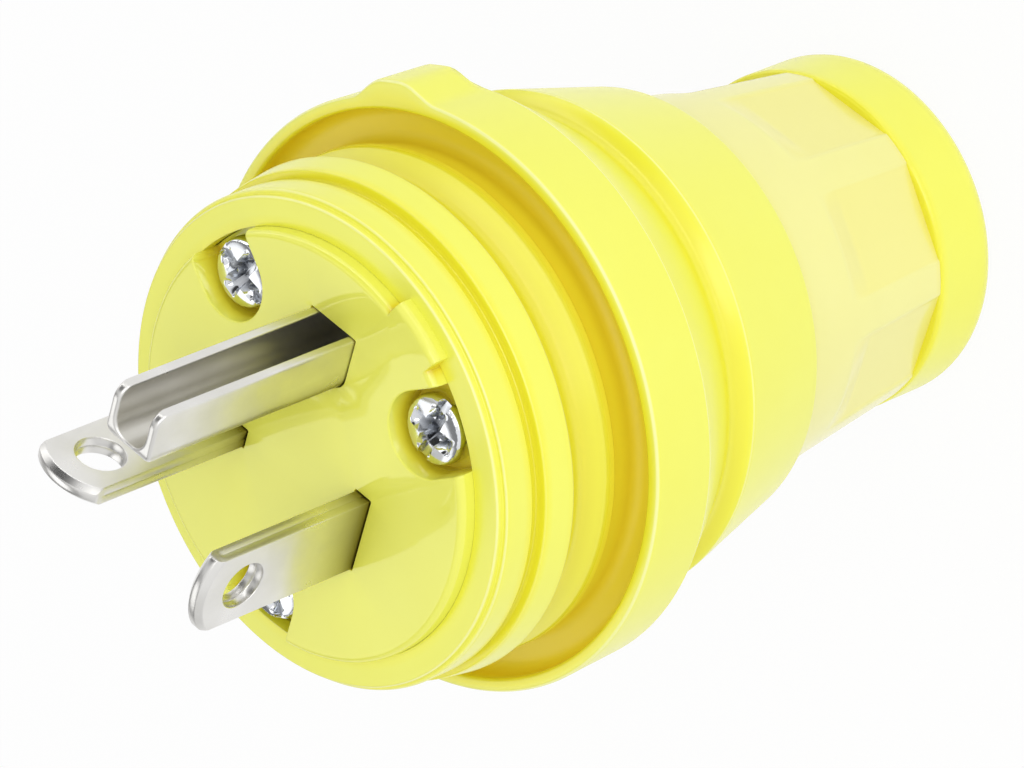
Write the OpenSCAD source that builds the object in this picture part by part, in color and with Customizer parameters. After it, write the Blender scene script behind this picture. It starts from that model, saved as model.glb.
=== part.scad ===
// Watertight straight-blade power plug for 20 A at 125 V.
// It has two flat blades at right angles, a U-shaped ground pin, an elastomer boot with a cupped
// sealing skirt, and a cord gland. It stands on its cord end with the blades up (+Z), the ground
// pin on the +Y side and the line blade on the +X side. All sizes are in millimetres.

/* [Blades] */
// Width of a flat blade
blade_w = 6.35; // [6.2:0.05:6.5]
// Thickness of a flat blade
blade_t = 1.52; // [1.4:0.02:1.7]
// Length of a flat blade in front of the face
blade_len = 15.9; // [15:0.1:18.2]
// Rise of the rounded tip above its corners
tip_rise = 1.1; // [0.7:0.1:1.6]
// Bevel round the tip
tip_bevel = 0.45; // [0.2:0.05:0.6]
// Diameter of the hole near the tip
tip_hole_d = 3.8; // [3:0.1:4.2]
// Distance of that hole from the face
tip_hole_z = 11.7; // [11:0.1:12.5]
// Width of the fold line along a blade's edges
seam_w = 0.16; // [0.1:0.02:0.3]
// Depth of the fold line
seam_depth = 0.06; // [0.02:0.02:0.12]
// Distance of the line blade from the axis
line_x = 6.7; // [6.3:0.05:7]
// Distance of the neutral blade's middle from the axis
neutral_x = 8.3; // [7.8:0.1:8.8]
// Distance of the flat blades below the axis
blade_drop = 2.7; // [2.3:0.1:3.1]

/* [Ground pin] */
// Width of the U-shaped pin
pin_w = 4.6; // [4.5:0.01:4.9]
// Height of the U
pin_h = 4.7; // [4.4:0.1:5]
// Thickness of the pin's sheet
pin_wall = 0.75; // [0.6:0.05:1]
// Outer radius of the folds
pin_fold = 1.2; // [0.9:0.1:1.5]
// Length of the pin in front of the face
pin_len = 19.1; // [18:0.1:21]
// Rounding of the pin's front corners
pin_nose = 1.3; // [0.8:0.1:1.8]
// Height of the pin's middle above the flat blades
pin_rise = 11.9; // [11.5:0.1:12.3]

/* [Face plate] */
// Diameter of the face plate
plate_d = 32.9; // [31.5:0.1:34]
// Thickness of the face plate
plate_t = 5; // [4.5:0.1:6]
// Height of the plate above the boot's rim
plate_proud = 1.3; // [1:0.1:2]
// Rounding of the plate's front edge
plate_edge = 0.6; // [0.2:0.1:0.9]
// Direction of the key tab, from the line side
tab_angle = 65; // [60:1:70]
// Angle that the key tab covers
tab_arc = 17; // [12:1:22]
// Reach of the key tab over the boot's rim
tab_reach = 1.2; // [0.8:0.1:1.6]

/* [Face screws] */
// Distance of the screws from the face plate's edge
screw_inset = 3.05; // [2.85:0.05:3.45]
// Angle between the ground pin's side and each upper screw
screw_spread = 50; // [47:1:54]
// Diameter of a screw's head
head_d = 5.4; // [4.8:0.1:5.8]
// Height of a screw's head
head_h = 2; // [1.6:0.1:2.4]
// Rounding of a head's edge
head_edge = 0.9; // [0.5:0.1:1.2]
// Rise of a head's domed top
head_dome = 0.4; // [0.2:0.1:0.6]
// Diameter of a screw's shank
screw_d = 3; // [2.6:0.1:3.2]
// Length of a screw below its head
screw_len = 12; // [10:0.5:13]
// Depth of the screw pockets in the face
pocket_depth = 2.8; // [2.4:0.1:3.2]
// Room between a head and its pocket's wall
pocket_room = 0.6; // [0.4:0.1:0.9]
// Width of the driver slot and of the cross
recess_w = 0.9; // [0.7:0.1:1.1]
// Depth of the driver slot
recess_depth = 0.8; // [0.5:0.1:1.1]
// Length of the cross at the top
cross_len = 3.6; // [3:0.1:4]
// Length of the cross at its floor
cross_floor = 1.6; // [1:0.1:2]
// Depth of the cross
cross_depth = 1.4; // [1:0.1:1.6]
// Turn of each screw's slot from the plate's radius
slot_turns = [88, 19, 35]; // [0:1:180]

/* [Boot] */
// Length of the boot
boot_len = 35.75; // [34:0.25:38]
// Wall of the nose round the face plate
nose_wall = 2.45; // [2:0.05:3]
// Height of the lip that grips the face plate
grip_h = 1.2; // [0.8:0.1:2]
// Step between the rim and the nose
bead_step = 0.38; // [0.2:0.02:0.5]
// Height of that step
bead_h = 0.6; // [0.4:0.1:0.9]
// Distance of the wide rib from the rim
wide_rib_at = 4.1; // [3.6:0.1:4.6]
// Width of the wide rib
wide_rib_w = 2.65; // [2.2:0.05:3]
// Height of the wide rib's front edge
wide_rib_front = 0.45; // [0.3:0.05:0.6]
// Height of the wide rib's rear edge
wide_rib_rear = 0.85; // [0.65:0.05:1]
// Radius of the small groove in front of the wide rib
small_groove_r = 0.42; // [0.3:0.02:0.5]
// Width of the groove behind the wide rib
groove_w = 2.9; // [2.6:0.05:3.2]
// Radius of that groove's round floor
groove_r = 2.3; // [2.1:0.1:2.6]
// Depth of that groove below the nose
groove_depth = 0.5; // [0.3:0.05:0.7]
// Width of the narrow rib
narrow_rib_w = 1.7; // [1.4:0.05:2]
// Height of the narrow rib
narrow_rib_h = 0.65; // [0.4:0.05:0.8]
// Distance of the skirt's lip from the rim
skirt_at = 12; // [11.9:0.1:13]
// Length of the skirt's outside
skirt_len = 5.8; // [5:0.1:6.6]
// Gap between the nose and the skirt
skirt_gap = 2.9; // [2.4:0.1:3.4]
// Wall of the skirt
skirt_wall = 1.1; // [0.9:0.1:1.5]
// Depth of the cup inside the skirt
cup_depth = 2.1; // [1.6:0.1:2.6]
// Narrowing of the skirt towards its rear edge
skirt_taper = 0.2; // [0:0.05:0.4]
// Direction of the key ridge on the skirt, from the line side
ridge_angle = 117.6; // [105:0.1:130]
// Width of the key ridge at its foot
ridge_w = 8; // [6:0.5:10]
// Height of the key ridge
ridge_h = 0.75; // [0.5:0.05:1]
// Wall of the boot at the neck's narrowest place
neck_wall = 2.05; // [1.8:0.05:2.5]
// Length of the tail ring
tail_len = 9.8; // [9:0.1:10.6]
// Step from the neck up to the tail ring
tail_step = 1.2; // [0.9:0.1:1.6]
// Length of that step
tail_front = 1.4; // [1:0.1:1.8]
// Narrowing of the tail ring towards the nut
tail_taper = 2.35; // [2:0.05:2.6]

/* [Housing] */
// Wall of the housing's cup round the terminal block
cup_wall = 1.85; // [1.6:0.05:2.1]
// Width of the ledge that carries the terminal block
ledge_w = 1.6; // [1.2:0.1:1.8]
// Length of the cup behind the face plate
cup_len = 19; // [18:0.5:20]
// Thickness of the cup's floor
cup_floor = 2; // [1.6:0.1:2.4]
// Step from the cup in to the neck
shoulder_w = 2.45; // [2.2:0.05:2.8]
// Wall round a screw's hole in its boss
boss_wall = 1.1; // [0.9:0.1:1.3]
// Length of a screw boss
boss_len = 13; // [12.5:0.5:14]
// Step from the neck in to the threaded spigot
spigot_step = 1.6; // [1.4:0.1:1.8]
// Length of the threaded spigot
spigot_len = 9.65; // [9:0.05:10.5]
// Wall of the spigot
spigot_wall = 2.9; // [2.6:0.1:3.2]
// Wall of the spigot's mouth round the grommet
mouth_wall = 1.8; // [1.6:0.1:2]
// Depth of the mouth
mouth_depth = 4.2; // [3.6:0.1:5]

/* [Terminals] */
// Thickness of the terminal block
block_t = 4; // [3.5:0.1:4.5]
// Width of the shoulders that the block traps
ear_w = 8.2; // [7.8:0.1:8.6]
// Height of those shoulders
ear_h = 1.6; // [1.2:0.1:2]
// Length of a blade behind the face plate
strip_len = 15; // [14.5:0.5:16]
// Distance of a terminal screw behind the face plate
terminal_at = 10; // [9.6:0.1:10.6]
// Thickness of a clamp plate
clamp_t = 1.2; // [1:0.1:1.4]
// Width of a clamp plate
clamp_w = 6.4; // [6:0.1:6.8]
// Length of a clamp plate
clamp_len = 7; // [6.6:0.1:7.6]
// Diameter of a terminal screw's shank
wire_screw_d = 3.4; // [3:0.1:3.6]
// Length of that shank
wire_screw_len = 4.2; // [3.8:0.1:4.4]
// Diameter of a terminal screw's head
wire_head_d = 6; // [5.4:0.1:6.4]
// Height of a terminal screw's head
wire_head_h = 2; // [1.6:0.1:2.2]
// Thickness of the barriers between the terminals
barrier_t = 1.4; // [1:0.1:1.6]
// Length of the barriers behind the block
barrier_len = 11; // [10:0.5:12]
// Height of the barrier below the ground terminal, from the axis
barrier_y = 3.3; // [3.1:0.1:3.6]

/* [Gland] */
// Diameter of the cord that the grommet fits
cord_d = 12; // [10:0.5:13]
// Length of the gland nut
nut_len = 18.55; // [17.8:0.05:20]
// Step from the boot's tail ring in to the nut
nut_step = 1.55; // [1.3:0.05:1.8]
// Narrowing of the nut towards its rear
nut_taper = 2.1; // [1.6:0.05:2.3]
// Bevel of the nut's front edge
nut_edge = 0.4; // [0.2:0.1:0.6]
// Number of flats on the nut
flats = 8; // [6:1:10]
// Length of the flats
flats_len = 10.5; // [9:0.1:12.5]
// Depth of a flat at its front end
flat_front = 0.45; // [0.2:0.05:0.6]
// Depth of a flat at its rear end
flat_rear = 0.6; // [0.4:0.05:0.8]
// Slope of the shoulder in front of each flat, in mm per mm
flat_slope = 0.6; // [0.3:0.1:1]
// Thickness of the nut's floor
nut_floor = 2.9; // [2.4:0.1:3.4]
// Step inside the nut behind its thread
nut_seat_step = 1.15; // [1:0.05:1.3]
// Free length of the nut's thread past the spigot
thread_run = 1; // [0.6:0.1:1.4]
// Room for the cord in the nut's hole, on each side
nut_room = 2; // [1.6:0.1:2.4]
// Length of the sleeve behind the nut that carries the collar
sleeve_len = 4; // [3.6:0.1:4.6]
// Thickness of the slip washer
washer_t = 1; // [0.8:0.1:1.4]
// Room for the cord in the slip washer, on each side
washer_room = 0.6; // [0.4:0.1:1]
// Space between the grommet's flange and the spigot
squeeze = 0.4; // [0.2:0.1:0.8]

/* [End collar] */
// Length of the collar
collar_len = 6.8; // [6.4:0.1:8.4]
// Wall of the collar round the nut's sleeve
collar_wall = 2.7; // [2.3:0.1:3.1]
// Height of the collar over the nut's rear edge
collar_over = 0.1; // [0:0.05:0.4]
// Rounding of the collar's rear edge
collar_round = 1.9; // [1.4:0.1:2.4]
// Bevel of the collar's front edge
collar_edge = 0.35; // [0.2:0.05:0.6]
// Room for the cord in the collar's hole, on each side
collar_room = 1.5; // [1:0.1:1.8]

/* [Fits] */
// Room round a blade in its slot
slot_fit = 0.08; // [0.06:0.02:0.2]
// Room between the boot and what it covers
boot_fit = 0.2; // [0.1:0.05:0.3]
// Room between the boot's lip and the face plate
grip_fit = 0.05; // [0.05:0.01:0.1]
// Room round the terminal block and the screw bosses
block_fit = 0.2; // [0.1:0.05:0.3]
// Room in a screw thread, on each side
thread_fit = 0.15; // [0.05:0.05:0.25]
// Room round the grommet
grommet_fit = 0.15; // [0.05:0.05:0.25]
// Room between the collar and the nut's sleeve
collar_fit = 0.1; // [0.05:0.05:0.2]

/* [Hidden] */
$fn = 96;
// Overlap that lets a cut pass a surface
past = 1;

// Heights, from the cord end up to the face
nut_top = collar_len + nut_len;
rim_z = nut_top + boot_len;
face_z = rim_z + plate_proud;
plate_z = face_z - plate_t;
block_z = plate_z - block_t;
shoulder_z = plate_z - cup_len;
spigot_z = nut_top - spigot_len;
mouth_z = spigot_z + mouth_depth;
thread_z = spigot_z - thread_run;
seat_z = collar_len + nut_floor;

// Radii of the face plate, the boot and the housing
plate_r = plate_d / 2;
bore_r = plate_r + boot_fit;
grip_r = plate_r + grip_fit;
nose_r = bore_r + nose_wall;
skirt_in_r = nose_r + skirt_gap;
skirt_r = skirt_in_r + skirt_wall;
neck_r = bore_r + neck_wall;
tail_r = neck_r + tail_step;
tail_rear_r = tail_r - tail_taper;
block_seat_r = plate_r - cup_wall;
cavity_r = block_seat_r - ledge_w;
core_r = plate_r - shoulder_w;
spigot_r = core_r - spigot_step;
wire_r = spigot_r - spigot_wall;
mouth_r = spigot_r - mouth_wall;
boss_r = screw_d / 2 + boss_wall;
pocket_r = head_d / 2 + pocket_room;
screw_circle = plate_r - screw_inset;
dome_r = (pow(head_d / 2, 2) + pow(head_dome, 2)) / (2 * head_dome);
screw_angles = [90 - screw_spread, 90 + screw_spread, 270];

// Radii of the gland
cord_r = cord_d / 2;
nut_r = tail_rear_r - nut_step;
nut_rear_r = nut_r - nut_taper;
thread_r = spigot_r + thread_fit;
nut_seat_r = thread_r - nut_seat_step;
nut_hole_r = cord_r + nut_room;
collar_r = nut_rear_r + collar_over;
sleeve_r = collar_r - collar_wall - collar_fit;

// Radius of the tip's arc through its corners and its middle
tip_r = (pow(blade_w / 2, 2) + pow(tip_rise, 2)) / (2 * tip_rise);
// Height of the ground pin's web above the middle of the pin
web_y = -pin_h / 2 + pin_wall / 2;

yellow = [0.98, 0.93, 0.18];
plate_yellow = [0.92, 0.91, 0.35];
nut_yellow = [0.96, 0.93, 0.58];
nickel = [0.8, 0.79, 0.75];
zinc = [0.78, 0.8, 0.82];
brass = [0.78, 0.62, 0.28];
green = [0.2, 0.5, 0.3];
nylon = [0.88, 0.87, 0.8];

// Places of the three terminals, at face height, with the clamp's side turned to +Y
module at_line() {
    translate([line_x, -blade_drop, face_z])
        rotate([0, 0, -90])
            children();
}

module at_neutral() {
    translate([-neutral_x, -blade_drop, face_z])
        children();
}

module at_ground() {
    translate([0, pin_rise - blade_drop, face_z])
        children();
}

module at_screws(z) {
    for (a = screw_angles)
        rotate([0, 0, a])
            translate([screw_circle, 0, z])
                children();
}

// Disc with a rounded upper edge, standing on z = 0
module rounded_disc(r, h, edge) {
    rotate_extrude() {
        square([r, h - edge]);
        square([r - edge, h]);
        translate([r - edge, h - edge])
            intersection() {
                circle(edge);
                square(edge);
            }
    }
}

module ring(outer, inner, h) {
    rotate_extrude()
        translate([inner, 0])
            square([outer - inner, h]);
}

// Space that a flat strip takes in a slot, from height z upwards
module strip_space(w, t, z, h) {
    translate([-w / 2 - slot_fit, -t / 2 - slot_fit, z])
        cube([w + 2 * slot_fit, t + 2 * slot_fit, h]);
}

// Outline of the ground pin, with its folds on the -Y side
module pin_outline(grow) {
    fold_x = pin_w / 2 - pin_fold;
    fold_y = -pin_h / 2 + pin_fold;
    translate([-pin_w / 2 - grow, fold_y])
        square([pin_w + 2 * grow, pin_h - pin_fold + grow]);
    translate([-fold_x, fold_y - pin_fold - grow])
        square([2 * fold_x, 2 * pin_fold + grow]);
    for (side = [-1, 1])
        translate([side * fold_x, fold_y])
            circle(pin_fold + grow);
}

// Inside of the ground pin, open towards +Y
module pin_channel() {
    channel_r = pin_w / 2 - pin_wall;
    floor_y = -pin_h / 2 + pin_wall + channel_r;
    translate([0, floor_y])
        circle(channel_r);
    translate([-channel_r, floor_y])
        square([2 * channel_r, pin_h]);
}

// Side view of the ground pin's front, with rounded corners
module pin_side(low) {
    corner_y = pin_h / 2 - pin_nose;
    translate([-pin_h, low])
        square([2 * pin_h, pin_len - pin_nose - low]);
    translate([-corner_y, low])
        square([2 * corner_y, pin_len - low]);
    for (side = [-1, 1])
        translate([side * corner_y, pin_len - pin_nose])
            circle(pin_nose);
}

// Flat blade with a bevelled round tip, shoulders and a terminal strip; the face is z = 0
module flat_blade() {
    low = -plate_t - strip_len;
    tip_low = blade_len - tip_r;
    bevel_in = tip_r - tip_bevel - blade_t / 2;
    land = blade_t / 2 - tip_bevel;
    difference() {
        union() {
            intersection() {
                translate([-blade_w / 2, -blade_t / 2, low])
                    cube([blade_w, blade_t, blade_len - low]);
                union() {
                    translate([-blade_w, -blade_t, low - past])
                        cube([2 * blade_w, 2 * blade_t, tip_low - low + past]);
                    translate([0, 0, tip_low])
                        rotate([90, 0, 0])
                            rotate_extrude()
                                polygon([[0, -blade_t], [bevel_in, -blade_t], [tip_r, -land],
                                         [tip_r, land], [bevel_in, blade_t], [0, blade_t]]);
                }
            }
            translate([-ear_w / 2, -blade_t / 2, -plate_t - ear_h])
                cube([ear_w, blade_t, ear_h]);
        }
        translate([0, 0, tip_hole_z])
            rotate([90, 0, 0])
                cylinder(h = 2 * blade_t, d = tip_hole_d, center = true);
        terminal_hole(blade_t);
        for (side = [-1, 1])
            translate([side * blade_w / 2, 0, blade_len / 2])
                cube([2 * seam_depth, seam_w, blade_len + past], center = true);
    }
}

// Hole for a terminal screw in a strip or a clamp plate
module terminal_hole(t) {
    translate([0, 0, -plate_t - terminal_at])
        rotate([90, 0, 0])
            cylinder(h = t + 2 * past, d = wire_screw_d + 2 * thread_fit, center = true);
}

// Clamp plate on the +Y side of a strip of thickness t
module clamp_plate(t) {
    translate([0, t / 2 + clamp_t / 2, 0])
        difference() {
            translate([-clamp_w / 2, -clamp_t / 2, -plate_t - terminal_at - clamp_len / 2])
                cube([clamp_w, clamp_t, clamp_len]);
            terminal_hole(clamp_t);
        }
}

// Slotted screw that presses a clamp plate on to a strip of thickness t
module terminal_screw(t) {
    translate([0, t / 2 + clamp_t, -plate_t - terminal_at])
        rotate([-90, 0, 0])
            difference() {
                union() {
                    rounded_disc(wire_head_d / 2, wire_head_h, head_edge);
                    translate([0, 0, -wire_screw_len])
                        cylinder(h = wire_screw_len + past, d = wire_screw_d);
                }
                translate([0, 0, wire_head_h])
                    cube([wire_head_d + past, recess_w, 2 * recess_depth], center = true);
            }
}

// Pan-head screw with a slot and a tapered cross, number i of the three in the face
module face_screw(i) {
    color(zinc)
        rotate([0, 0, screw_angles[i]])
            translate([screw_circle, 0, face_z - pocket_depth])
                rotate([0, 0, slot_turns[i]])
                    difference() {
                        union() {
                            intersection() {
                                rounded_disc(head_d / 2, head_h, head_edge);
                                translate([0, 0, head_h - dome_r])
                                    sphere(dome_r);
                            }
                            translate([0, 0, -screw_len])
                                cylinder(h = screw_len + past, d = screw_d);
                        }
                        translate([0, 0, head_h])
                            cube([head_d + past, recess_w, 2 * recess_depth], center = true);
                        translate([0, 0, head_h - cross_depth])
                            cross_recess();
                    }
}

// Space of the cross: two bars cut off by a cone that narrows towards the floor
module cross_recess() {
    intersection() {
        cylinder(h = cross_depth, d1 = cross_floor, d2 = cross_len);
        for (turn = [0, 90])
            rotate([0, 0, turn])
                translate([-cross_len / 2, -recess_w / 2, 0])
                    cube([cross_len, recess_w, cross_depth]);
    }
}

// Elastomer boot: rim, ribbed nose, cupped skirt, neck and tail ring, stepped inside
module boot() {
    bead_z = rim_z - bead_h;
    wide_z = rim_z - wide_rib_at;
    wide_rear_z = wide_z - wide_rib_w;
    narrow_z = wide_rear_z - groove_w;
    narrow_rear_z = narrow_z - narrow_rib_w;
    lip_z = rim_z - skirt_at;
    lip_r = skirt_wall / 2;
    floor_z = lip_z - cup_depth;
    skirt_rear_z = lip_z - skirt_len;
    skirt_rear_r = skirt_r - skirt_taper;
    tail_z = nut_top + tail_len;
    core_bore_r = core_r + boot_fit;
    ridge_top = skirt_r + ridge_h;
    ridge_foot = sqrt(pow(skirt_r, 2) - pow(ridge_w / 2, 2));
    // Axis of the round ridge, through its two feet and its top
    ridge_axis = (pow(ridge_top, 2) - pow(skirt_r, 2)) / (2 * (ridge_top - ridge_foot));
    color(yellow) {
        rotate_extrude() {
            difference() {
                polygon([
                    [grip_r, rim_z], [nose_r - bead_step, rim_z],
                    [nose_r - bead_step, bead_z], [nose_r, bead_z],
                    [nose_r, wide_z], [nose_r + wide_rib_front, wide_z],
                    [nose_r + wide_rib_rear, wide_rear_z], [nose_r, wide_rear_z],
                    [nose_r, narrow_z], [nose_r + narrow_rib_h, narrow_rear_z],
                    [nose_r, narrow_rear_z], [nose_r, floor_z],
                    [skirt_in_r, floor_z], [skirt_in_r, lip_z - lip_r],
                    [skirt_r, lip_z - lip_r], [skirt_rear_r, skirt_rear_z],
                    [neck_r, tail_z + tail_front], [tail_r, tail_z],
                    [tail_rear_r, nut_top], [core_bore_r, nut_top],
                    [core_bore_r, shoulder_z], [bore_r, shoulder_z],
                    [bore_r, rim_z - grip_h], [grip_r, rim_z - grip_h]]);
                translate([nose_r, wide_z + small_groove_r])
                    circle(small_groove_r);
                translate([nose_r - groove_depth + groove_r, (wide_rear_z + narrow_z) / 2])
                    intersection() {
                        circle(groove_r);
                        translate([-groove_r - past, -groove_w / 2])
                            square([2 * groove_r, groove_w]);
                    }
            }
            translate([skirt_in_r + lip_r, lip_z - lip_r])
                circle(lip_r);
        }
        intersection() {
            rotate([0, 0, ridge_angle])
                translate([ridge_axis, 0, skirt_rear_z])
                    cylinder(h = skirt_len, r = ridge_top - ridge_axis);
            rotate_extrude() {
                translate([skirt_in_r + lip_r, skirt_rear_z])
                    square([ridge_top - skirt_in_r - lip_r, skirt_len - lip_r]);
                translate([skirt_in_r + lip_r, lip_z - 2 * lip_r])
                    square([ridge_top - skirt_in_r - 2 * lip_r, 2 * lip_r]);
                translate([ridge_top - lip_r, lip_z - lip_r])
                    circle(lip_r);
            }
        }
    }
}

// Section of the key tab, with the plate's rounded edge further out
module tab_section() {
    inner = plate_r - plate_edge - past;
    round_at = plate_r + tab_reach - plate_edge;
    translate([inner, 0]) {
        square([round_at + plate_edge - inner, plate_proud - plate_edge]);
        square([round_at - inner, plate_proud]);
    }
    translate([round_at, plate_proud - plate_edge])
        intersection() {
            circle(plate_edge);
            square(plate_edge);
        }
}

// Face plate with blade slots, screw pockets that open to the rim, and a key tab over the rim
module face_plate() {
    color(plate_yellow)
        difference() {
            union() {
                translate([0, 0, plate_z])
                    rounded_disc(plate_r, plate_t, plate_edge);
                rotate([0, 0, tab_angle - tab_arc / 2])
                    rotate_extrude(angle = tab_arc)
                        translate([0, rim_z])
                            tab_section();
            }
            at_screws(face_z - pocket_depth) {
                cylinder(h = pocket_depth + past, r = pocket_r);
                translate([0, -pocket_r, 0])
                    cube([plate_r, 2 * pocket_r, pocket_depth + past]);
                translate([0, 0, -plate_t])
                    cylinder(h = 2 * plate_t, d = screw_d + 2 * thread_fit);
            }
            at_line()
                strip_space(blade_w, blade_t, -plate_t - past, plate_t + 2 * past);
            at_neutral()
                strip_space(blade_w, blade_t, -plate_t - past, plate_t + 2 * past);
            at_ground()
                translate([0, 0, -plate_t - past])
                    linear_extrude(plate_t + 2 * past)
                        pin_outline(slot_fit);
        }
}

// Insulating block that traps the blades' shoulders, with barriers between the terminals
module terminal_block() {
    low = -plate_t - block_t - past;
    deep = block_t + barrier_len + 2 * past;
    color(nylon)
        difference() {
            union() {
                translate([0, 0, block_z])
                    cylinder(h = block_t, r = block_seat_r - block_fit);
                intersection() {
                    translate([0, 0, block_z - barrier_len])
                        cylinder(h = barrier_len + past, r = cavity_r - block_fit);
                    translate([0, 0, block_z - barrier_len]) {
                        translate([-plate_r, barrier_y - barrier_t / 2, 0])
                            cube([plate_d, barrier_t, barrier_len + past]);
                        translate([-barrier_t / 2, -plate_r, 0])
                            cube([barrier_t, plate_r + barrier_y, barrier_len + past]);
                    }
                }
            }
            at_line() {
                strip_space(blade_w, blade_t, low, block_t + 2 * past);
                strip_space(ear_w, blade_t, -plate_t - ear_h, ear_h + past);
            }
            at_neutral() {
                strip_space(blade_w, blade_t, low, block_t + 2 * past);
                strip_space(ear_w, blade_t, -plate_t - ear_h, ear_h + past);
            }
            at_ground() {
                translate([0, web_y, 0]) {
                    strip_space(blade_w, pin_wall, low, block_t + 2 * past);
                    strip_space(ear_w, pin_wall, -plate_t - ear_h, ear_h + past);
                }
                translate([0, 0, -plate_t - ear_h])
                    linear_extrude(ear_h + past)
                        pin_outline(slot_fit);
            }
            at_screws(plate_z - deep)
                cylinder(h = deep + past, r = boss_r + block_fit);
        }
}

// Room for a strip of thickness t, its clamp plate and its screw behind the face plate
module terminal_room(t) {
    clamp_z = -plate_t - terminal_at - clamp_len / 2 - slot_fit;
    strip_space(blade_w, t, -plate_t - strip_len - slot_fit, strip_len + slot_fit + past);
    strip_space(ear_w, t, -plate_t - ear_h - slot_fit, ear_h + slot_fit + past);
    translate([-clamp_w / 2 - slot_fit, 0, clamp_z])
        cube([clamp_w + 2 * slot_fit, t / 2 + clamp_t + wire_head_h + slot_fit, clamp_len + 2 * slot_fit]);
}

// Rigid inner barrel: cup with screw bosses, neck and threaded spigot
module housing() {
    floor_top = shoulder_z + cup_floor;
    cone_z = floor_top - (cavity_r - wire_r);
    color(nylon)
        difference() {
            rotate_extrude()
                polygon([
                    [0, plate_z], [plate_r, plate_z],
                    [plate_r, shoulder_z], [core_r, shoulder_z],
                    [core_r, nut_top], [spigot_r, nut_top],
                    [spigot_r, spigot_z], [0, spigot_z]]);
            difference() {
                rotate_extrude()
                    polygon([
                        [0, plate_z + past], [block_seat_r, plate_z + past],
                        [block_seat_r, block_z], [cavity_r, block_z],
                        [cavity_r, floor_top], [wire_r, cone_z],
                        [wire_r, mouth_z], [mouth_r, mouth_z],
                        [mouth_r, spigot_z - past], [0, spigot_z - past]]);
                at_screws(plate_z - boss_len)
                    cylinder(h = boss_len + 2 * past, r = boss_r);
            }
            at_screws(face_z - pocket_depth - screw_len - past)
                cylinder(h = screw_len + 2 * past, d = screw_d + 2 * thread_fit);
            at_line()
                terminal_room(blade_t);
            at_neutral()
                terminal_room(blade_t);
            at_ground()
                translate([0, web_y, 0])
                    terminal_room(pin_wall);
        }
}

module line_blade() {
    color(nickel)
        at_line()
            flat_blade();
}

module neutral_blade() {
    color(nickel)
        at_neutral()
            flat_blade();
}

// U-shaped pin with rounded front corners, shoulders and a terminal strip
module ground_pin() {
    low = -plate_t - ear_h;
    color(nickel)
        at_ground()
            difference() {
                union() {
                    intersection() {
                        translate([0, 0, low])
                            linear_extrude(pin_len - low)
                                difference() {
                                    pin_outline(0);
                                    pin_channel();
                                }
                        rotate([90, 0, 90])
                            linear_extrude(2 * pin_w, center = true)
                                pin_side(low - past);
                    }
                    translate([-ear_w / 2, web_y - pin_wall / 2, low])
                        cube([ear_w, pin_wall, ear_h]);
                    translate([-blade_w / 2, web_y - pin_wall / 2, -plate_t - strip_len])
                        cube([blade_w, pin_wall, strip_len - ear_h / 2]);
                }
                translate([0, web_y, 0])
                    terminal_hole(pin_wall);
            }
}

module line_clamp() {
    color(brass)
        at_line()
            clamp_plate(blade_t);
}

module neutral_clamp() {
    color(zinc)
        at_neutral()
            clamp_plate(blade_t);
}

module ground_clamp() {
    color(zinc)
        at_ground()
            translate([0, web_y, 0])
                clamp_plate(pin_wall);
}

module line_terminal_screw() {
    color(brass)
        at_line()
            terminal_screw(blade_t);
}

module neutral_terminal_screw() {
    color(zinc)
        at_neutral()
            terminal_screw(blade_t);
}

module ground_terminal_screw() {
    color(green)
        at_ground()
            translate([0, web_y, 0])
                terminal_screw(pin_wall);
}

// Bush in the spigot's mouth, with a flange that the washer pushes on
module cord_grommet() {
    low = seat_z + washer_t;
    color(yellow)
        rotate_extrude()
            polygon([
                [cord_r, low], [nut_seat_r - grommet_fit, low],
                [nut_seat_r - grommet_fit, spigot_z - squeeze],
                [mouth_r - grommet_fit, spigot_z - squeeze],
                [mouth_r - grommet_fit, mouth_z], [cord_r, mouth_z]]);
}

module slip_washer() {
    color(nylon)
        translate([0, 0, seat_z])
            ring(nut_seat_r - grommet_fit, cord_r + washer_room, washer_t);
}

// Gland nut: round in front, with sloping flats at the rear and a sleeve for the collar
module gland_nut() {
    flats_z = collar_len + flats_len;
    out_r = nut_r + past;
    // Radius of the nut's outside where the flats begin
    front_r = nut_rear_r + nut_taper * flats_len / nut_len;
    flat_front_r = front_r - flat_front;
    flat_rear_r = nut_rear_r - flat_rear;
    flat_past_r = flat_rear_r - (flat_front_r - flat_rear_r) * past / flats_len;
    color(nut_yellow)
        difference() {
            rotate_extrude()
                polygon([
                    [thread_r, nut_top], [nut_r - nut_edge, nut_top],
                    [nut_r, nut_top - nut_edge], [nut_rear_r, collar_len],
                    [sleeve_r, collar_len], [sleeve_r, collar_len - sleeve_len],
                    [nut_hole_r, collar_len - sleeve_len], [nut_hole_r, seat_z],
                    [nut_seat_r, seat_z], [nut_seat_r, thread_z],
                    [thread_r, thread_z]]);
            for (i = [0 : flats - 1])
                rotate([0, 0, i * 360 / flats])
                    rotate([90, 0, 0])
                        linear_extrude(2 * nut_r, center = true)
                            polygon([
                                [flat_past_r, collar_len - past], [flat_front_r, flats_z],
                                [out_r, flats_z + flat_slope * (out_r - flat_front_r)],
                                [out_r, collar_len - past]]);
        }
}

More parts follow.
